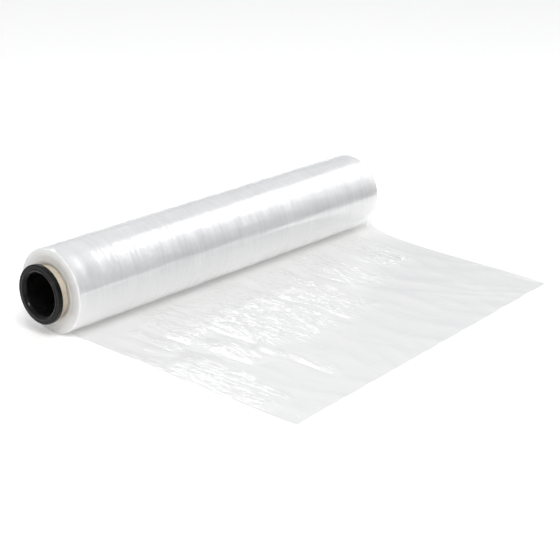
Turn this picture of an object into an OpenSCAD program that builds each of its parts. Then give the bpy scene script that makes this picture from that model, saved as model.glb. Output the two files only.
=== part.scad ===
/* [Film roll] */
// Width of the film, which is the length of the wound roll
film_w = 500; // [300:10:750]
// Diameter over the wound film
wound_d = 93.6; // [84:0.2:130]
// Least width of the flat on which the soft roll rests
flat_w = 6.4; // [3:0.2:12]
// Radius of the soft rims at the ends of the wound film
rim_r = 2.2; // [1:0.2:6]
// Height of the tension bands around the wound film
band_h = 0.4; // [0.1:0.1:0.8]
// Distance between tension bands
band_pitch = 32; // [20:2:60]
// Depth to which groups of turns lie behind the end faces
turn_step = 0.5; // [0.1:0.1:1]
// Width of one group of turns on the end faces
turn_pitch = 2.2; // [1.5:0.1:4]
// Width of the first turns next to the core, which stand out of the end faces
inner_w = 4.2; // [2:0.2:6]
// Distance by which the first turns stand out
inner_rise = 1; // [0.4:0.2:2.4]

/* [Free tail] */
// Distance from the core axis to the front edge at the left end
tail_left = 329; // [180:1:600]
// Distance from the core axis to the front edge at the right end
tail_right = 299; // [180:1:600]
// Thickness of the free film, with its trapped air
tail_t = 0.4; // [0.3:0.05:1]
// Distance by which the left edge lies inside the end face
inset_left = 11; // [6:0.5:30]
// Distance by which the right edge lies inside the end face
inset_right = 2; // [1:0.5:30]
// Distance by which the film is drawn in further at its front edge
neck_in = 3; // [0:0.5:12]
// Angle from the foot of the roll to where the film leaves it at the left end
peel_left = 32; // [25:1:55]
// Angle from the foot of the roll to where the film leaves it at the right end
peel_right = 44; // [25:1:55]
// Distance over which the film comes down to the floor at the left end
drop_left = 7; // [5:0.5:40]
// Distance over which the film comes down to the floor at the right end
drop_right = 26; // [5:0.5:40]
// Height of the wrinkles
wrinkle_h = 3; // [0.5:0.1:5]
// Distance between wrinkles across the film
wrinkle_pitch = 46; // [30:1:80]
// Distance between the low swells along the film
swell_pitch = 150; // [80:5:300]

/* [Core] */
// Inner diameter of the cardboard core
core_id = 50; // [38:0.5:60]
// Wall of the cardboard core
core_wall = 4; // [2:0.5:5]
// Distance by which the core stands out of each end of the film
core_reach = 9.4; // [3:0.1:30]
// Width of the crushed edge at each end of the core
core_edge = 0.5; // [0.2:0.1:1]
// Gap between the core and the first turn of film
wind_gap = 0.1; // [0.05:0.05:0.3]

/* [End plugs] */
// Distance by which the flange stands out past the core
flange_over = 3.4; // [1:0.1:6]
// Thickness of the flange from the end of the core to its crest
flange_t = 6.2; // [4.5:0.1:9]
// Rounding of the outer edge of the flange at its front
flange_round = 1.2; // [0.5:0.1:1.8]
// Rounding of the outer edge of the flange at its back
back_round = 1.2; // [0.5:0.1:1.8]
// Distance by which the front of the flange falls from the crest to its edge
flange_fall = 0.6; // [0.2:0.1:1.2]
// Width of the rounded mouth of the bore
mouth_w = 4.4; // [2:0.1:5]
// Depth of the rounded mouth of the bore
mouth_depth = 6; // [3:0.1:8]
// Width of the crest around the mouth
crest_w = 1; // [0.6:0.1:1.4]
// Wall of the sleeve between its bore and the core
sleeve_wall = 2.4; // [2:0.1:4]
// Clearance between the sleeve and the core
sleeve_gap = 0.1; // [0.05:0.05:0.4]
// Length of the sleeve inside the core
sleeve_len = 32; // [16:1:60]
// Taper of the tip of the sleeve
tip_taper = 1; // [0.4:0.1:1.5]
// Length of the taper at the tip of the sleeve
tip_len = 4; // [2:0.5:8]
// Width of the slits that let the sleeve spring
slit_w = 2.4; // [1:0.1:4]
// Distance from the end of the core to where the slits start
slit_from = 5.2; // [3:0.1:12]

/* [Hidden] */
$fn = 128;
eps = 0.01;

wound_r = wound_d / 2;
half_w = film_w / 2;
core_od = core_id + 2 * core_wall;
core_half = half_w + core_reach;
floor_z = -sqrt(pow(wound_r - band_h, 2) - pow(flat_w / 2, 2));

film_color = [0.88, 0.9, 0.91];
card_color = [0.62, 0.5, 0.38];
plug_color = [0.1, 0.1, 0.11];

function mix(a, b, t) = a + (b - a) * t;

// Points of an oval or an arc about a centre, from one angle to another
function oval(centre, w, h, from, to, steps) =
    [for (k = [0:steps]) let (a = mix(from, to, k / steps))
        [centre[0] + w * cos(a), centre[1] + h * sin(a)]];
function arc(centre, r, from, to, steps) = oval(centre, r, r, from, to, steps);

function ramp(a, b, x) = let (t = max(0, min(1, (x - a) / (b - a)))) t * t * (3 - 2 * t);
function flip(points) = [for (k = [len(points) - 1:-1:0]) [points[k][0], -points[k][1]]];

// Wound film

// Layers of the tension bands: share of the height, share of the pitch, and turn in degrees
band_layers = [[0.5, 1, 0], [0.3, 2.3, 50], [0.2, 0.62, 120]];
band_steps = 4.8;

// Radius of the wound surface at a place along the roll
function band_wave(x) = [for (layer = band_layers) layer[0]]
    * [for (layer = band_layers) sin(360 * x / (layer[1] * band_pitch) + layer[2])];
function surface_r(x) = wound_r - band_h * (1 - band_wave(x)) / 2;

band_stations = round(band_steps * film_w / band_pitch);
band_from = half_w - rim_r;
bands = [for (k = [0:band_stations]) let (x = mix(-band_from, band_from, k / band_stations))
    [surface_r(x), x]];

// Groups of turns, each at its own depth behind the end face
rim_steps = 6;
step_share = 0.15;
depth_turn = 137;
depth_start = 20;
bore_r = core_od / 2 + wind_gap;
inner_r = bore_r + inner_w;
face_w = surface_r(band_from) - rim_r - inner_r;
turn_groups = max(1, floor(face_w / turn_pitch));
group_w = face_w / turn_groups;
half_step = step_share * turn_pitch / 2;
function group_depth(k) = turn_step * (1 + sin(depth_turn * k + depth_start)) / 2;
turns = [for (k = [0:turn_groups - 1]) for (side = [0, 1])
    [inner_r + group_w * (k + side) + (side == 0 ? half_step : -half_step),
     half_w - (k == turn_groups - 1 ? 0 : group_depth(k))]];

end_profile = concat(
    [[bore_r, half_w + inner_rise], [inner_r - half_step, half_w + inner_rise]],
    turns,
    arc([inner_r + face_w, half_w - rim_r], rim_r, 90, 0, rim_steps));

module wound_film() {
    rotate([0, 90, 0])
        rotate_extrude()
            polygon(concat(
                end_profile,
                [for (k = [len(bands) - 2:-1:1]) bands[k]],
                flip(end_profile)));
}

// Free tail

tail_cols = 62;
tail_rows = 24;
row_growth = 1.25;
// Depth of the first row inside the roll, and distance of the second from the peel line
embed = 2;
first_row = 4;
// Distances from the peel line over which the wrinkles rise and then settle, and how far the
// settling moves towards the roll at the right edge
rise_from = 8;
rise_to = 60;
settle_from = 120;
settle_to = 260;
settle_skew = 90;
settled_share = 0.5;
// Share of the width over which the wrinkles fade out at each edge
calm_edge = 0.06;
// Layers of wrinkles: share of the height, share of the pitch, sway, slant, turn in degrees,
// turn of the swell in degrees, and the least share that the swell leaves
wrinkle_layers = [
    [0.5, 1, 0.12, 0.16, 0, 0, 0.35],
    [0.35, 0.62, -0.12, -0.22, 70, 150, 0],
    [0.25, 1.5, 0, 0.55, 200, 60, 0]];
swell_skew = 5;
// The left edge starts at this share of its inset and reaches it over this distance
inset_start = 0.4;
inset_run = 24;
// How suddenly the film draws in at its front edge, and how much of that the right edge takes
neck_power = 6;
neck_right = 0.4;

// Distance from the peel line at each row, the first one inside the roll
function row_share(j) = j == 0 ? 0 : pow((j - 1) / (tail_rows - 1), row_growth);
function peel_angle(u) = mix(peel_left, peel_right, u);
function peel_y(u) = -wound_r * sin(peel_angle(u));
function peel_lift(u) = -wound_r * cos(peel_angle(u)) - floor_z;
function front_y(u) = -mix(tail_left, tail_right, u);
function row_from_peel(u, j) =
    j == 0 ? -embed : mix(first_row, peel_y(u) - front_y(u), row_share(j));

// Height of the hanging part of the film above the floor
function lift(u, d) = peel_lift(u) * exp(-d / mix(drop_left, drop_right, u));

// Share of the full wrinkle height, low at the edges and towards the front right
function wrinkle_zone(u, d) = ramp(rise_from, rise_to, d)
    * mix(1, settled_share, ramp(settle_from, settle_to, d + settle_skew * u))
    * ramp(0, calm_edge, u) * ramp(0, calm_edge, 1 - u);

// Wrinkles that run out from the roll at a slant, and fade in and out along their length
function wave(x, y, pitch, slant, turn) =
    pow(0.5 + 0.5 * sin(360 * (x + slant * y) / pitch + turn), 2);
function swell(x, y, turn) =
    0.5 + 0.5 * sin(360 * (y / swell_pitch + x / (swell_skew * wrinkle_pitch)) + turn);
function wrinkle_layer(x, y, layer) =
    let (sway = layer[2] * wrinkle_pitch * sin(360 * y / swell_pitch))
    wave(x + sway, y, layer[1] * wrinkle_pitch, layer[3], layer[4])
    * mix(layer[6], 1, swell(x, y, layer[5]));
function wrinkle(x, y) = [for (layer = wrinkle_layers) layer[0]]
    * [for (layer = wrinkle_layers) wrinkle_layer(x, y, layer)];

function edge_inset(u, d, share) = mix(
    inset_left * mix(inset_start, 1, ramp(-embed, inset_run, d)) + neck_in * pow(share, neck_power),
    inset_right + neck_right * neck_in * pow(share, neck_power), u);
function tail_x(u, d, share) = mix(-half_w, half_w, u)
    + edge_inset(u, d, share) * (1 - 2 * u);

function tail_point(i, j) =
    let (u = i / tail_cols, d = row_from_peel(u, j), share = row_share(j))
    let (x = tail_x(u, d, share), y = peel_y(u) - d)
    [x, y, floor_z + lift(u, d) + wrinkle_h * wrinkle_zone(u, d) * wrinkle(x, y)];

lower = [for (j = [0:tail_rows]) for (i = [0:tail_cols]) tail_point(i, j)];
upper = [for (p = lower) p + [0, 0, tail_t]];

// Number of a point in the lower layer, and of the one above it
function at(i, j) = j * (tail_cols + 1) + i;
function over(i, j) = len(lower) + at(i, j);
function quad(a, b, c, d) = [[a, b, c], [a, c, d]];

top_faces = [for (j = [0:tail_rows - 1]) for (i = [0:tail_cols - 1])
    each quad(over(i, j), over(i + 1, j), over(i + 1, j + 1), over(i, j + 1))];
bottom_faces = [for (j = [0:tail_rows - 1]) for (i = [0:tail_cols - 1])
    each quad(at(i, j), at(i, j + 1), at(i + 1, j + 1), at(i + 1, j))];
root_faces = [for (i = [0:tail_cols - 1])
    each quad(at(i, 0), at(i + 1, 0), over(i + 1, 0), over(i, 0))];
front_faces = [for (i = [0:tail_cols - 1]) let (j = tail_rows)
    each quad(at(i, j), over(i, j), over(i + 1, j), at(i + 1, j))];
left_faces = [for (j = [0:tail_rows - 1])
    each quad(at(0, j), over(0, j), over(0, j + 1), at(0, j + 1))];
right_faces = [for (j = [0:tail_rows - 1]) let (i = tail_cols)
    each quad(at(i, j), at(i, j + 1), over(i, j + 1), over(i, j))];

module free_tail() {
    polyhedron(
        points = concat(lower, upper),
        faces = concat(top_faces, bottom_faces, root_faces, front_faces, left_faces, right_faces));
}

module film() {
    color(film_color)
        union() {
            difference() {
                wound_film();
                translate([-film_w, -wound_r, floor_z - wound_r])
                    cube([2 * film_w, wound_d, wound_r]);
            }
            free_tail();
        }
}

// Cardboard core

module core_tube() {
    color(card_color)
        rotate([0, 90, 0])
            rotate_extrude()
                polygon([
                    [core_id / 2, -core_half],
                    [core_od / 2 - core_edge, -core_half],
                    [core_od / 2, -core_half + core_edge],
                    [core_od / 2, core_half - core_edge],
                    [core_od / 2 - core_edge, core_half],
                    [core_id / 2, core_half]]);
}

// End plugs

// Angles at which the crest's rounding starts and ends, and at which the edge's rounding starts
crest_start = 75;
crest_end = 30;
edge_start = 80;
mouth_steps = 7;
crest_steps = 3;
edge_steps = 6;
back_steps = 3;

sleeve_r = core_id / 2 - sleeve_gap;
plug_bore_r = core_id / 2 - sleeve_wall;
flange_r = core_od / 2 + flange_over;
crest_r = plug_bore_r + mouth_w;
edge_r = flange_r - flange_round;

// Half section of a plug, as radius and distance out from the end of the core
plug_profile = concat(
    [[plug_bore_r, -sleeve_len]],
    oval([crest_r, flange_t - mouth_depth], mouth_w, mouth_depth, 180, 90, mouth_steps),
    arc([crest_r, flange_t - crest_w], crest_w, crest_start, crest_end, crest_steps),
    arc([edge_r, flange_t - flange_fall - flange_round], flange_round, edge_start, 0, edge_steps),
    arc([flange_r - back_round, back_round], back_round, 0, -90, back_steps),
    [[sleeve_r, 0], [sleeve_r, tip_len - sleeve_len], [sleeve_r - tip_taper, -sleeve_len]]);

module end_plug() {
    difference() {
        rotate_extrude()
            polygon(plug_profile);
        translate([-core_id, -slit_w / 2, -sleeve_len - eps])
            cube([2 * core_id, slit_w, sleeve_len + eps - slit_from]);
    }
}

module end_plug_left() {
    color(plug_color)
        translate([-core_half, 0, 0])
            rotate([0, -90, 0])
                end_plug();
}

module end_plug_right() {
    color(plug_color)
        translate([core_half, 0, 0])
            rotate([0, 90, 0])
                end_plug();
}

film();
core_tube();
end_plug_left();
end_plug_right();
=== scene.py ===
import math

import bpy
import numpy as np
from mathutils import Matrix, Vector


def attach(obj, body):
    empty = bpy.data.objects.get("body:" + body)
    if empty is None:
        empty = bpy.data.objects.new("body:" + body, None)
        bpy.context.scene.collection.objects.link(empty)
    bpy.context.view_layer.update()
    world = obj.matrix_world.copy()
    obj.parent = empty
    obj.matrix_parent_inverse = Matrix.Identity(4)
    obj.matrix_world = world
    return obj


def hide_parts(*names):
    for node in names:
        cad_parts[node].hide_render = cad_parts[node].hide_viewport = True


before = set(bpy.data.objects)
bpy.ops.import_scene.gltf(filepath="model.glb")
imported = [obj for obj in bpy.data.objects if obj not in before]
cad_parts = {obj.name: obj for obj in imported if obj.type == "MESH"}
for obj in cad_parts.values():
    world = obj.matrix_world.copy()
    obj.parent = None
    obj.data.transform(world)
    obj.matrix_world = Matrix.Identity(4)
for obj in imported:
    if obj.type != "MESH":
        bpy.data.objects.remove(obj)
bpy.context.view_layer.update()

MM = 0.001

# Camera, as fitted to the ends of the roll and the corners of the tail
CAMERA_AT = Vector((-1.1874, -1.1196, 0.5699))
CAMERA_YAW = math.radians(40.62)
CAMERA_PITCH = math.radians(20.91)
CAMERA_ROLL = math.radians(1.54)
FOCAL_PX = 1485.1
IMAGE_PX = 560
SENSOR_MM = 36

# Sizes of the wound film, in millimetres as in the part's source
FILM_W = 500
WOUND_R = 46.8
FLAT_W = 6.4
RIM_R = 2.2
BAND_H = 0.4
BAND_PITCH = 32
BORE_R = 29.1
INNER_W = 4.2
INNER_RISE = 1.0
HALF_W = FILM_W / 2
FLOOR_Z = -math.sqrt((WOUND_R - BAND_H) ** 2 - (FLAT_W / 2) ** 2)

# Sizes of the free tail, in millimetres as in the part's source
TAIL_LEFT = 329
TAIL_RIGHT = 299
TAIL_T = 0.4
INSET_LEFT = 11
INSET_RIGHT = 2
NECK_IN = 3
# The power by which it narrows towards the front edge
NECK_POWER = 6
PEEL_LEFT = math.radians(32)
PEEL_RIGHT = math.radians(44)
DROP_LEFT = 7
DROP_RIGHT = 26
WRINKLE_H = 3
WRINKLE_PITCH = 46
SWELL_PITCH = 150
EMBED = 2

# Columns of crinkles on the tail: middle, half width, nearest and farthest distance from the axis,
# and how many times longer than wide the creases are
CRINKLES = [
    (-238, 7, 85, 330, 7),
    (-194, 9, 60, 135, 7),
    (-196, 12, 150, 250, 5),
    (-146, 30, 45, 125, 3.5),
    (-150, 16, 135, 215, 3),
    (-120, 9, 110, 290, 8),
    (-212, 22, 150, 290, 4),
    (-96, 22, 45, 195, 2.8),
    (-46, 36, 42, 215, 2.4),
    (30, 33, 42, 205, 2.4),
    (106, 28, 42, 165, 2.4),
    (182, 30, 42, 140, 2.4)]
CRINKLE_H = 1.3
# The wide and the narrow creases: cell width, and the share of the height
WIDE_CREASE = 6.5
NARROW_CREASE = 4.2
NARROW_SHARE = 0.4
# Tension streaks of the roll: number once round, pitch and height of the wide and the narrow ones,
# and how far they slant to one side and back
STREAK_CELLS = 7
STREAK_PITCH = 7
STREAK_H = 0.13
FINE_PITCH = 3.6
FINE_H = 0.12
STREAK_SLANT = 5
# Taken off each ridge, so that the streaks rise and fall about the surface, and how much lower
# that surface then lies than the source's
RIDGE_MIDDLE = 0.4
STREAK_SINK = 0.1
# How far in the turn edges of the end faces lie, before their unevenness is added
FACE_SINK = 0.35
# The film is smooth up to the first of these places along the roll, and lined from the second on
SMOOTH_TO = -215
LINED_FROM = -180
# Soft folds at the front right of the tail: height and pitch
FOLD_H = 1.6
FOLD_PITCH = 22

# Studio: the soft light from all round, and the way in which the room lies open
WORLD_COLOUR = (0.74, 0.745, 0.76)
HORIZON_COLOUR = (0.58, 0.592, 0.62)
# Share of it that lights the object, where gloss and glass show all of it
WORLD_LIGHT = 0.62
OPEN_COLOUR = (0.13, 0.133, 0.14)
OPEN_WAY = (0.63, -0.71, 0.22)
OPEN_REACH = (0.78, 0.93)
# Heights, on the direction's Z, between which the horizon's colour turns into the sky's
HORIZON_BLEND = (0.04, 0.34)
FLOOR_COLOUR = (0.96, 0.958, 0.95)
FLOOR_GLOW = 0.18
# The same glow as gloss shows it
GLOSS_GLOW = 0.5
FLOOR_HALF = 6.0
# The floor lies this far below the roll's foot, in millimetres
FLOOR_GAP = 0.15
# The main light: a large soft source, by its way, its reach as cosines, its falloff and its radiance
MAIN_WAY = (0.679, -0.059, 0.731)
MAIN_REACH = (0.486, 0.98)
MAIN_FALLOFF = 2.2
MAIN_RADIANCE = 2.5
# Its bright middle
CORE_REACH = (0.955, 0.985)
CORE_NEAR = (0.68, 0.73)
CORE_RADIANCE = 4.0
# Where it ends towards the back and towards the near end, as shares of the way to it
MAIN_BACK = (0.25, -0.02)
MAIN_NEAR = (0.65, 0.68)
# Softboxes: place, the point that they face, width and height, and radiance
BACK_BOX = ((1.4, 3.0, 3.75), (0, -0.17, 0), (1.35, 1.35), 9.0)
KEY_BOX = ((-1.72, -1.27, 1.74), (-0.25, 0, 0), (0.6, 0.6), 30.0)
FILL_BOX = ((-0.955, -1.53, 2.46), (0, -0.1, 0), (2.4, 1.6), 8.0)
# How steeply they brighten from their edges
BOX_EDGE = 1.5
# The floor's colour and glow are painted darker past this distance, a painted shade that stands for the
# dark open room, along a level way that the camera's frame leaves out
DIM_WAY = (0.518, -0.856, 0)
DIM_FROM = 0.42
DIM_TO = 0.5
DIM_SHARE = 0.2

# Film: the heights between which the roll's colour is painted paler towards its foot, as painted light
FOOT_PAINTED_LIGHT = (0.006, -0.02)
# What one layer lets through, and the most that its two faces reflect
CLEAR_SHARE = 0.835
TWO_FACES = 1.8
MOST_GLOSS = 0.33
HAZE_SHARE = 0.03

# Mesh density
ROUND_STEPS = 240
AXIAL_STEPS = 310
FACE_STEPS = 24
RIM_STEPS = 8
TAIL_COLS = 400
TAIL_ROWS = 245
# The power by which the tail's rows crowd towards the roll
ROW_CROWDING = 1.15


def mix(a, b, t):
    return a + (b - a) * t


def ramp(a, b, x):
    t = np.clip((x - a) / (b - a), 0, 1)
    return t * t * (3 - 2 * t)


def lattice(ix, iy, seed):
    """A repeatable random value from 0 to 1 at each whole-number point."""
    h = np.sin(ix * 127.1 + iy * 311.7 + seed * 74.7) * 43758.5453
    return h - np.floor(h)


def noise(x, y, seed, cells=None):
    """Smooth value noise from -1 to 1, one cell a unit wide, repeating in y after that many cells."""
    x, y = np.broadcast_arrays(np.asarray(x, float), np.asarray(y, float))
    ix, iy = np.floor(x), np.floor(y)
    fx, fy = x - ix, y - iy
    fx, fy = fx ** 3 * (fx * (fx * 6 - 15) + 10), fy ** 3 * (fy * (fy * 6 - 15) + 10)
    near, far = (iy, iy + 1) if cells is None else (iy % cells, (iy + 1) % cells)
    low = mix(lattice(ix, near, seed), lattice(ix + 1, near, seed), fx)
    high = mix(lattice(ix, far, seed), lattice(ix + 1, far, seed), fx)
    return 2 * mix(low, high, fy) - 1


def ridges(x, y, seed, cells=None, power=2):
    """Sharp-crested creases from 0 to 1, one cell a unit wide."""
    return (1 - np.abs(noise(x, y, seed, cells))) ** power


# Nodes and materials

def new_material(name):
    material = bpy.data.materials.new(name)
    material.use_nodes = True
    tree = material.node_tree
    tree.nodes.clear()
    return material, tree


def feed(tree, socket, value):
    """Gives an input a link from another node's socket, or a plain value."""
    if isinstance(value, bpy.types.NodeSocket):
        tree.links.new(value, socket)
    else:
        socket.default_value = value


def add(tree, kind, **values):
    """A node of that kind, with its settings and what goes into its inputs."""
    node = tree.nodes.new(kind)
    for key, value in values.items():
        if hasattr(node, key):
            setattr(node, key, value)
        else:
            feed(tree, node.inputs[key.replace("_", " ")], value)
    return node


def object_xyz(tree):
    """The X, Y and Z of the place on the object, in metres."""
    place = add(tree, "ShaderNodeTexCoord")
    return add(tree, "ShaderNodeSeparateXYZ", Vector=place.outputs["Object"]).outputs


def noise_value(tree, scale, detail=3.0, rough=0.5, distortion=0.0):
    """Noise with that many cells to the metre along each axis."""
    place = add(tree, "ShaderNodeTexCoord")
    mapping = add(tree, "ShaderNodeMapping", Vector=place.outputs["Object"], Scale=scale)
    texture = add(tree, "ShaderNodeTexNoise", Vector=mapping.outputs["Vector"], Scale=1.0,
                  Detail=detail, Roughness=rough, Distortion=distortion)
    return texture.outputs["Fac"]


def colour_ramp(tree, value, stops):
    """A colour looked up by a value, between stops of place and colour."""
    node = add(tree, "ShaderNodeValToRGB", Fac=value)
    while len(node.color_ramp.elements) < len(stops):
        node.color_ramp.elements.new(0.5)
    for element, (position, colour) in zip(node.color_ramp.elements, stops):
        element.position = position
        element.color = (*colour, 1)
    return node.outputs["Color"]


def spread(tree, value, from_low, from_high, to_low, to_high):
    """A value carried over from one range to another, and held at its ends."""
    node = add(tree, "ShaderNodeMapRange", Value=value, From_Min=from_low, From_Max=from_high,
               To_Min=to_low, To_Max=to_high)
    return node.outputs["Result"]


def bump(tree, height, distance, strength, under=None):
    """A normal tilted by a height, on top of another normal where one is given."""
    node = add(tree, "ShaderNodeBump", Strength=strength, Distance=distance, Height=height)
    if under is not None:
        feed(tree, node.inputs["Normal"], under)
    return node.outputs["Normal"]


def maths(tree, operation, first, second):
    """One sum of two values."""
    node = add(tree, "ShaderNodeMath", operation=operation)
    feed(tree, node.inputs[0], first)
    feed(tree, node.inputs[1], second)
    return node.outputs[0]


def blended(tree, kind, first, second, share, way="MIX"):
    """Two values or colours mixed by a share."""
    node = add(tree, "ShaderNodeMix", data_type=kind, blend_type=way, Factor=share, A=first, B=second)
    return node.outputs["Result"]


def scaled(tree, colour, value):
    """A colour made lighter or darker by a value."""
    node = add(tree, "ShaderNodeVectorMath", operation="SCALE", Scale=value)
    feed(tree, node.inputs[0], colour)
    return node.outputs[0]


def reach_along(tree, vector, way):
    """How far a vector reaches along a fixed way."""
    node = add(tree, "ShaderNodeVectorMath", operation="DOT_PRODUCT")
    feed(tree, node.inputs[0], vector)
    feed(tree, node.inputs[1], way)
    return node.outputs["Value"]


def finish_material(tree, shader):
    add(tree, "ShaderNodeOutputMaterial", Surface=shader)


def wound_material():
    """Many clear turns, which look milky and pale, under a glossy last turn with tension streaks, with the
    colour painted paler towards the foot as painted light.
    """
    material, tree = new_material("wound_film")
    place = object_xyz(tree)
    low = spread(tree, place["Z"], *FOOT_PAINTED_LIGHT, 0, 1)
    facing = add(tree, "ShaderNodeLayerWeight", Blend=0.5)
    coat = maths(tree, "MAXIMUM", spread(tree, facing.outputs["Facing"], 0.55, 0.95, 1.0, 0.7), low)
    streaks = noise_value(tree, (260, 14, 14), detail=5)
    clouds = noise_value(tree, (16, 9, 9))
    tint = colour_ramp(tree, blended(tree, "FLOAT", streaks, clouds, 0.45), [
        (0.3, (0.62, 0.626, 0.634)), (0.5, (0.675, 0.68, 0.687)), (0.72, (0.735, 0.738, 0.742))])
    # Painted light: the roll's colour turns paler towards its foot
    tint = blended(tree, "RGBA", tint, (0.97, 0.965, 0.955, 1), low)
    fine = noise_value(tree, (900, 40, 40))
    lines = noise_value(tree, (340, 26, 26))
    tense = spread(tree, place["X"], SMOOTH_TO * MM, LINED_FROM * MM, 0.15, 1)
    broad = noise_value(tree, (70, 5, 5), detail=2)
    skin = bump(tree, broad, 0.0004, 0.2)
    skin = bump(tree, maths(tree, "MULTIPLY", lines, tense), 0.001, 0.85, under=skin)
    skin = bump(tree, fine, 0.00008, 0.5, under=skin)
    body = add(tree, "ShaderNodeBsdfPrincipled", Base_Color=tint, Roughness=0.32, IOR=1.5,
               Normal=bump(tree, broad, 0.0004, 0.4),
               Coat_Weight=coat, Coat_Roughness=0.1, Coat_IOR=2.5, Coat_Normal=skin,
               Subsurface_Weight=1.0, Subsurface_Radius=(0.05, 0.05, 0.05), Subsurface_Scale=1.0)
    finish_material(tree, body.outputs["BSDF"])
    return material


def turn_edge_material():
    """The cut edges of the turns at the end faces, in fine rings that darken towards the core."""
    material, tree = new_material("film_turn_edges")
    place = object_xyz(tree)
    flat = add(tree, "ShaderNodeCombineXYZ", Y=place["Y"], Z=place["Z"])
    length = add(tree, "ShaderNodeVectorMath", operation="LENGTH")
    feed(tree, length.inputs[0], flat.outputs["Vector"])
    radius = length.outputs["Value"]
    outwards = add(tree, "ShaderNodeCombineXYZ", X=spread(tree, radius, 0, 0.05, 0, 130))
    rings = add(tree, "ShaderNodeTexNoise", Vector=outwards.outputs["Vector"], Scale=1.0, Detail=3.0)
    base = colour_ramp(tree, spread(tree, radius, BORE_R * MM, WOUND_R * MM, 0, 1), [
        (0.0, (0.62, 0.58, 0.53)), (0.2, (0.72, 0.69, 0.65)),
        (0.32, (0.84, 0.83, 0.8)), (1.0, (0.88, 0.88, 0.87))])
    lines = colour_ramp(tree, rings.outputs["Fac"], [(0.35, (0.86, 0.86, 0.86)), (0.6, (1, 1, 1))])
    tint = blended(tree, "RGBA", base, lines, 1.0, "MULTIPLY")
    normal = bump(tree, rings.outputs["Fac"], 0.0004, 0.6)
    normal = bump(tree, noise_value(tree, (300, 300, 300)), 0.0003, 0.35, under=normal)
    body = add(tree, "ShaderNodeBsdfPrincipled", Base_Color=tint, Roughness=0.42, IOR=1.5, Normal=normal,
               Coat_Weight=0.35, Coat_Roughness=0.2,
               Subsurface_Weight=0.6, Subsurface_Radius=(0.03, 0.03, 0.03), Subsurface_Scale=1.0)
    finish_material(tree, body.outputs["BSDF"])
    return material


def tail_material():
    """One layer of clear film: what its two faces reflect, mixed with what shows through it."""
    material, tree = new_material("free_film")
    creases = noise_value(tree, (170, 70, 170), detail=5, rough=0.6, distortion=0.6)
    small = noise_value(tree, (210, 75, 210), detail=2, distortion=0.6)
    crumpled = add(tree, "ShaderNodeAttribute", attribute_name="crumpled")
    rough = maths(tree, "MAXIMUM", crumpled.outputs["Fac"], 0.14)
    normal = bump(tree, creases, 0.0008, 0.5)
    normal = bump(tree, maths(tree, "MULTIPLY", small, rough), 0.0026, 0.9, under=normal)
    sheen = add(tree, "ShaderNodeBsdfPrincipled", Base_Color=(0.93, 0.935, 0.94, 1), Metallic=1.0,
                Roughness=0.04, Normal=normal)
    clear = add(tree, "ShaderNodeBsdfTransparent", Color=(CLEAR_SHARE, CLEAR_SHARE, CLEAR_SHARE, 1))
    edge_on = add(tree, "ShaderNodeFresnel", IOR=1.5, Normal=normal)
    faces = maths(tree, "MINIMUM", maths(tree, "MULTIPLY", edge_on.outputs[0], TWO_FACES), MOST_GLOSS)
    haze = noise_value(tree, (22, 14, 22), detail=2)
    faces = maths(tree, "ADD", faces, spread(tree, haze, 0.3, 0.7, 0.0, HAZE_SHARE))
    film = add(tree, "ShaderNodeMixShader", Fac=faces)
    feed(tree, film.inputs[1], clear.outputs[0])
    feed(tree, film.inputs[2], sheen.outputs[0])
    finish_material(tree, film.outputs[0])
    return material


def card_material():
    """Grey-brown board, mottled and fibrous."""
    material, tree = new_material("core_board")
    fibres = noise_value(tree, (420, 900, 900), detail=5, rough=0.65)
    blotches = noise_value(tree, (60, 60, 60))
    tint = colour_ramp(tree, blended(tree, "FLOAT", fibres, blotches, 0.5), [
        (0.32, (0.45, 0.38, 0.29)), (0.5, (0.565, 0.495, 0.39)), (0.7, (0.665, 0.605, 0.51))])
    body = add(tree, "ShaderNodeBsdfPrincipled", Base_Color=tint, Roughness=0.85,
               Normal=bump(tree, fibres, 0.0002, 0.6))
    finish_material(tree, body.outputs["BSDF"])
    return material


def plug_material():
    """Black moulded plastic with a satin skin and light handling marks."""
    material, tree = new_material("black_moulding")
    grain = noise_value(tree, (1500, 1500, 1500), detail=2)
    marks = noise_value(tree, (90, 90, 90), detail=4, rough=0.7)
    tint = colour_ramp(tree, marks, [(0.35, (0.004, 0.004, 0.004)), (0.7, (0.01, 0.01, 0.01))])
    body = add(tree, "ShaderNodeBsdfPrincipled", Base_Color=tint, IOR=1.4, Specular_IOR_Level=0.17,
               Roughness=spread(tree, marks, 0.2, 0.8, 0.15, 0.25),
               Normal=bump(tree, grain, 0.00006, 0.35))
    finish_material(tree, body.outputs["BSDF"])
    return material


# Meshes

def mesh_object(name, points, faces, materials, slots=None):
    mesh = bpy.data.meshes.new(name)
    mesh.from_pydata((np.asarray(points) * MM).tolist(), [], faces)
    for material in materials:
        mesh.materials.append(material)
    mesh.polygons.foreach_set("use_smooth", [True] * len(mesh.polygons))
    if slots is not None:
        mesh.polygons.foreach_set("material_index", slots)
    mesh.update()
    obj = bpy.data.objects.new(name, mesh)
    bpy.context.scene.collection.objects.link(obj)
    return obj


def band_wave(x):
    """The tension bands of the part's source, from -1 to 1."""
    turn = 2 * np.pi * x / BAND_PITCH
    return (0.5 * np.sin(turn) + 0.3 * np.sin(turn / 2.3 + math.radians(50))
            + 0.2 * np.sin(turn / 0.62 + math.radians(120)))


def surface_r(x):
    return WOUND_R - BAND_H * (1 - band_wave(x)) / 2


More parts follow.
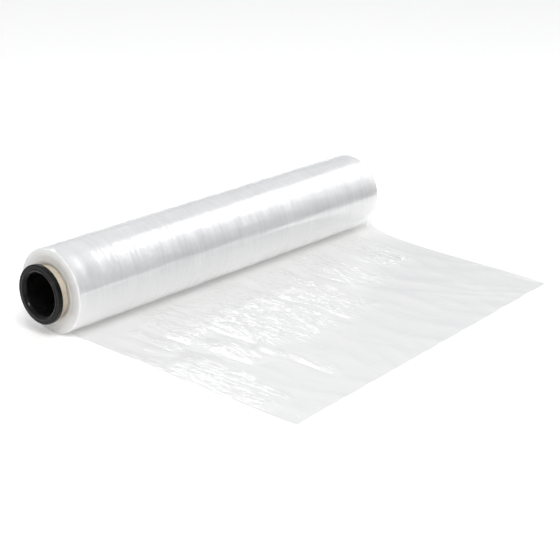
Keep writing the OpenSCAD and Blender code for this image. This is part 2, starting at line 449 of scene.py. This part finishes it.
def roll_profile():
    """Radius and place along the axis, from the bore round one end face and along to the other."""
    rim_at = surface_r(HALF_W - RIM_R) - RIM_R
    face_r = np.linspace(BORE_R, rim_at, FACE_STEPS)
    rise = INNER_RISE * (1 - ramp(BORE_R + INNER_W - 0.6, BORE_R + INNER_W + 0.2, face_r))
    right = [(r, HALF_W + d) for r, d in zip(face_r, rise)]
    turn = np.radians(np.linspace(80, 8, RIM_STEPS))
    right += [(rim_at + RIM_R * math.cos(a), HALF_W - RIM_R + RIM_R * math.sin(a)) for a in turn]
    along = np.linspace(HALF_W - RIM_R, -HALF_W + RIM_R, AXIAL_STEPS)
    outside = [(surface_r(x), x) for x in along]
    left = [(r, -x) for r, x in reversed(right)]
    inside = [(BORE_R, x) for x in (-HALF_W * 0.6, -HALF_W * 0.2, HALF_W * 0.2, HALF_W * 0.6)]
    return np.array(right + outside + left + inside)


def wound_roll():
    """The wound film as one closed shell, with slanted tension streaks and uneven turn edges."""
    profile = roll_profile()
    turn = np.linspace(0, 2 * np.pi, ROUND_STEPS, endpoint=False)
    r, x = profile[:, 0][:, None], profile[:, 1][:, None]
    a = turn[None, :]
    round_share = a / (2 * np.pi)
    outer = ramp(WOUND_R - RIM_R, WOUND_R - 1, r)
    slant = x + STREAK_SLANT * np.sin(a + 0.8)
    streak = ridges(slant / STREAK_PITCH, STREAK_CELLS * round_share, 3, STREAK_CELLS) - RIDGE_MIDDLE
    fine_cells = 2 * STREAK_CELLS
    fine = ridges(slant / FINE_PITCH, fine_cells * round_share, 5, fine_cells) - RIDGE_MIDDLE
    left_share = mix(1.0, 0.7, ramp(-60, 120, x)) * mix(0.3, 1, ramp(SMOOTH_TO, LINED_FROM, x))
    r_out = r + outer * left_share * (STREAK_H * streak + FINE_H * fine) - outer * STREAK_SINK
    face = 1 - outer
    rings = noise(r * 1.1, 5 * round_share, 11, 5) * 0.18 + noise(r * 0.35, 4 * round_share, 12, 4) * 0.2
    lip = (1 - ramp(BORE_R + 2, BORE_R + INNER_W, r)) * noise(r * 0.4, 30 * round_share, 13, 30) * 0.5
    on_face = np.abs(x) > HALF_W - RIM_R
    x_out = x - np.sign(x) * face * np.where(on_face, FACE_SINK + rings + lip, 0)
    y = -r_out * np.sin(a)
    z = np.maximum(-r_out * np.cos(a), FLOOR_Z)
    points = np.stack([x_out + 0 * a, y, z], axis=-1).reshape(-1, 3)
    n = len(profile)
    m = ROUND_STEPS
    # The turn edges reach from the bore to a little way round each rim
    right_end = FACE_STEPS + RIM_STEPS - 3
    left_start = FACE_STEPS + RIM_STEPS + AXIAL_STEPS + 2
    faces = []
    slots = []
    for i in range(n):
        k = (i + 1) % n
        end_face = 1 if i < right_end or i >= left_start else 0
        for j in range(m):
            q = (j + 1) % m
            faces.append((i * m + j, i * m + q, k * m + q, k * m + j))
            slots.append(end_face)
    return mesh_object("film_roll", points, faces, [wound_material(), turn_edge_material()], slots)


def wave(x, y, pitch, slant, turn):
    return (0.5 + 0.5 * np.sin(2 * np.pi * (x + slant * y) / pitch + math.radians(turn))) ** 2


def swell(x, y, turn):
    return 0.5 + 0.5 * np.sin(2 * np.pi * (y / SWELL_PITCH + x / (5 * WRINKLE_PITCH)) + math.radians(turn))


def wrinkle(x, y):
    """The wrinkles of the part's source, from 0 to about 1."""
    sway = 0.12 * WRINKLE_PITCH * np.sin(2 * np.pi * y / SWELL_PITCH)
    return (0.5 * wave(x + sway, y, WRINKLE_PITCH, 0.16, 0) * (0.35 + 0.65 * swell(x, y, 0))
            + 0.35 * wave(x - sway, y, 0.62 * WRINKLE_PITCH, -0.22, 70) * swell(x, y, 150)
            + 0.25 * wave(x, y, 1.5 * WRINKLE_PITCH, 0.55, 200) * swell(x, y, 60))


def wrinkle_zone(u, d):
    return (ramp(8, 60, d) * mix(1, 0.5, ramp(120, 260, d + 90 * u))
            * ramp(0, 0.06, u) * ramp(0, 0.06, 1 - u))


def crinkle(x, y):
    """Small sharp creases in columns that run out from the roll, and how crumpled the film is there."""
    bent_x = x + 5 * noise(x / 34, y / 40, 21)
    bent_y = y + 7 * noise(x / 30, y / 45, 22)
    height = np.zeros_like(x)
    crumpled = np.zeros_like(x)
    for middle, half, near, far, length in CRINKLES:
        across = 1 - ramp(half - 7, half + 3, np.abs(bent_x - middle))
        along = ramp(near - 12, near + 14, -bent_y) * (1 - ramp(far - 16, far + 6, -bent_y))
        wide = ridges(bent_x / WIDE_CREASE, bent_y / (WIDE_CREASE * length), 23, power=3)
        narrow = ridges(bent_x / NARROW_CREASE, bent_y / (NARROW_CREASE * length), 24, power=3)
        creases = CRINKLE_H * wide + NARROW_SHARE * CRINKLE_H * narrow
        height = np.maximum(height, across * along * creases)
        crumpled = np.maximum(crumpled, across * along)
    return height, crumpled


def soft_folds(x, y):
    """Low rounded folds at the front right, which bend as they run towards the front edge."""
    bent = x + 0.45 * (y + 200) + 10 * noise(x / 60, y / 60, 31)
    side = ramp(70, 130, x) * ramp(150, 215, -y)
    return side * FOLD_H * ridges(bent / FOLD_PITCH, y / 90, 32)


def free_tail():
    """The free film as one thin sheet that hangs from the roll and lies out on the floor."""
    u, v = np.meshgrid(np.linspace(0, 1, TAIL_COLS + 1), np.linspace(0, 1, TAIL_ROWS + 1))
    peel = mix(PEEL_LEFT, PEEL_RIGHT, u)
    peel_y = -WOUND_R * np.sin(peel)
    reach = peel_y + mix(TAIL_LEFT, TAIL_RIGHT, u)
    d = mix(-EMBED, reach, v ** ROW_CROWDING)
    share = np.clip(d / reach, 0, 1)
    inset = mix(INSET_LEFT * mix(0.4, 1, ramp(-EMBED, 24, d)) + NECK_IN * share ** NECK_POWER,
                INSET_RIGHT + 0.4 * NECK_IN * share ** NECK_POWER, u)
    x = mix(-HALF_W, HALF_W, u) + inset * (1 - 2 * u)
    y = peel_y - d
    lift = (-WOUND_R * np.cos(peel) - FLOOR_Z) * np.exp(-d / mix(DROP_LEFT, DROP_RIGHT, u))
    z = FLOOR_Z + TAIL_T + lift + WRINKLE_H * wrinkle_zone(u, d) * wrinkle(x, y)
    creases, crumpled = crinkle(x, y)
    z = z + creases + soft_folds(x, y)
    points = np.stack([x, y, z], axis=-1).reshape(-1, 3)
    n = TAIL_COLS + 1
    faces = [(j * n + i, (j + 1) * n + i, (j + 1) * n + i + 1, j * n + i + 1)
             for j in range(TAIL_ROWS) for i in range(TAIL_COLS)]
    tail = mesh_object("film_tail", points, faces, [tail_material()])
    tail.data.attributes.new("crumpled", "FLOAT", "POINT").data.foreach_set("value", crumpled.ravel())
    return tail


# Stage

def make_floor():
    """A pale floor with a plain white glow that only the camera, gloss and glass see, painted darker past
    a line out of frame as painted shade.
    """
    mesh = bpy.data.meshes.new("floor")
    z = (FLOOR_Z - FLOOR_GAP) * MM
    corners = [(-FLOOR_HALF, -FLOOR_HALF, z), (FLOOR_HALF, -FLOOR_HALF, z),
               (FLOOR_HALF, FLOOR_HALF, z), (-FLOOR_HALF, FLOOR_HALF, z)]
    mesh.from_pydata(corners, [], [(0, 1, 2, 3)])
    material, tree = new_material("pale_floor")
    place = add(tree, "ShaderNodeTexCoord")
    # Painted shade: past the line the floor's colour and glow are scaled down
    outwards = reach_along(tree, place.outputs["Object"], DIM_WAY)
    share = spread(tree, outwards, DIM_FROM, DIM_TO, 1, DIM_SHARE)
    paper = add(tree, "ShaderNodeBsdfDiffuse", Color=scaled(tree, FLOOR_COLOUR, share))
    ray = add(tree, "ShaderNodeLightPath").outputs
    seen = maths(tree, "MAXIMUM", ray["Is Camera Ray"], ray["Is Glossy Ray"])
    seen = maths(tree, "MAXIMUM", seen, ray["Is Transmission Ray"])
    level = spread(tree, ray["Is Glossy Ray"], 0, 1, FLOOR_GLOW, GLOSS_GLOW)
    strength = maths(tree, "MULTIPLY", maths(tree, "MULTIPLY", seen, level), share)
    glow = add(tree, "ShaderNodeEmission", Strength=strength)
    both = add(tree, "ShaderNodeAddShader")
    feed(tree, both.inputs[0], paper.outputs[0])
    feed(tree, both.inputs[1], glow.outputs[0])
    finish_material(tree, both.outputs[0])
    mesh.materials.append(material)
    floor = bpy.data.objects.new("floor", mesh)
    bpy.context.scene.collection.objects.link(floor)


def make_world():
    """Soft light from all round, dimmer where the room lies open, with the large main light in it."""
    world = bpy.data.worlds.new("studio")
    bpy.context.scene.world = world
    world.use_nodes = True
    tree = world.node_tree
    tree.nodes.clear()
    way = add(tree, "ShaderNodeTexCoord").outputs["Generated"]
    split = add(tree, "ShaderNodeSeparateXYZ", Vector=way).outputs
    height = colour_ramp(tree, spread(tree, split["Z"], *HORIZON_BLEND, 0, 1), [
        (0.0, HORIZON_COLOUR), (1.0, WORLD_COLOUR)])
    to_open = reach_along(tree, way, Vector(OPEN_WAY).normalized())
    tint = blended(tree, "RGBA", height, (*OPEN_COLOUR, 1), spread(tree, to_open, *OPEN_REACH, 0, 1))
    to_main = reach_along(tree, way, Vector(MAIN_WAY).normalized())
    main = maths(tree, "POWER", spread(tree, to_main, *MAIN_REACH, 0, 1), MAIN_FALLOFF)
    main = maths(tree, "MULTIPLY", main, spread(tree, split["Y"], *MAIN_BACK, 0, MAIN_RADIANCE))
    main = maths(tree, "MULTIPLY", main, spread(tree, split["X"], *MAIN_NEAR, 0, 1))
    core = maths(tree, "MULTIPLY", spread(tree, to_main, *CORE_REACH, 0, CORE_RADIANCE),
                 spread(tree, split["X"], *CORE_NEAR, 0, 1))
    ray = add(tree, "ShaderNodeLightPath").outputs
    level = spread(tree, ray["Is Diffuse Ray"], 0, 1, 1, WORLD_LIGHT)
    total = add(tree, "ShaderNodeVectorMath", operation="ADD")
    feed(tree, total.inputs[0], scaled(tree, tint, level))
    feed(tree, total.inputs[1], scaled(tree, (1, 1, 1), maths(tree, "ADD", main, core)))
    soft = add(tree, "ShaderNodeBackground", Color=total.outputs[0], Strength=1.0)
    add(tree, "ShaderNodeOutputWorld", Surface=soft.outputs["Background"])


def soft_edge(tree, place):
    """From 0 at both ends of a run from 0 to 1 up to 1 over its middle."""
    rise = maths(tree, "SINE", maths(tree, "MULTIPLY", place, math.pi), 0)
    return maths(tree, "MINIMUM", maths(tree, "MULTIPLY", rise, BOX_EDGE), 1.0)


def softbox(name, at, to, size, radiance):
    """An area light that is brightest at its middle and falls off softly to its edges."""
    light = bpy.data.lights.new(name, "AREA")
    light.shape = "RECTANGLE"
    light.size, light.size_y = size
    light.energy = radiance * math.pi * size[0] * size[1]
    light.use_nodes = True
    tree = light.node_tree
    tree.nodes.clear()
    place = add(tree, "ShaderNodeNewGeometry")
    split = add(tree, "ShaderNodeSeparateXYZ", Vector=place.outputs["Parametric"]).outputs
    share = maths(tree, "MULTIPLY", soft_edge(tree, split["X"]), soft_edge(tree, split["Y"]))
    glow = add(tree, "ShaderNodeEmission", Strength=share)
    add(tree, "ShaderNodeOutputLight", Surface=glow.outputs[0])
    obj = bpy.data.objects.new(name, light)
    obj.location = at
    obj.rotation_euler = (Vector(to) - Vector(at)).to_track_quat("-Z", "Y").to_euler()
    bpy.context.scene.collection.objects.link(obj)
    return obj


def make_camera():
    data = bpy.data.cameras.new("camera")
    data.sensor_width = SENSOR_MM
    data.lens = SENSOR_MM * FOCAL_PX / IMAGE_PX
    data.clip_start, data.clip_end = 0.05, 50
    camera = bpy.data.objects.new("camera", data)
    forward = Vector((math.cos(CAMERA_PITCH) * math.cos(CAMERA_YAW),
                      math.cos(CAMERA_PITCH) * math.sin(CAMERA_YAW), -math.sin(CAMERA_PITCH)))
    level = forward.cross(Vector((0, 0, 1))).normalized()
    upright = level.cross(forward)
    right = level * math.cos(CAMERA_ROLL) + upright * math.sin(CAMERA_ROLL)
    up = upright * math.cos(CAMERA_ROLL) - level * math.sin(CAMERA_ROLL)
    turn = Matrix((right, up, -forward)).transposed()
    camera.matrix_world = Matrix.Translation(CAMERA_AT) @ turn.to_4x4()
    bpy.context.scene.collection.objects.link(camera)
    bpy.context.scene.camera = camera


def dress(node, material):
    """Gives a CAD node its material."""
    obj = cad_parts[node]
    obj.data.materials.clear()
    obj.data.materials.append(material)


make_camera()
make_world()
make_floor()
softbox("back_box", *BACK_BOX).visible_diffuse = False
softbox("key_box", *KEY_BOX).visible_diffuse = False
softbox("fill_box", *FILL_BOX).visible_glossy = False

roll = wound_roll()
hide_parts("film")
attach(roll, "root")

tail = free_tail()
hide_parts("film")
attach(tail, "root")

dress("core_tube", card_material())
black = plug_material()
for plug in ("end_plug_left", "end_plug_right"):
    dress(plug, black)

bpy.context.scene.view_settings.view_transform = "Standard"
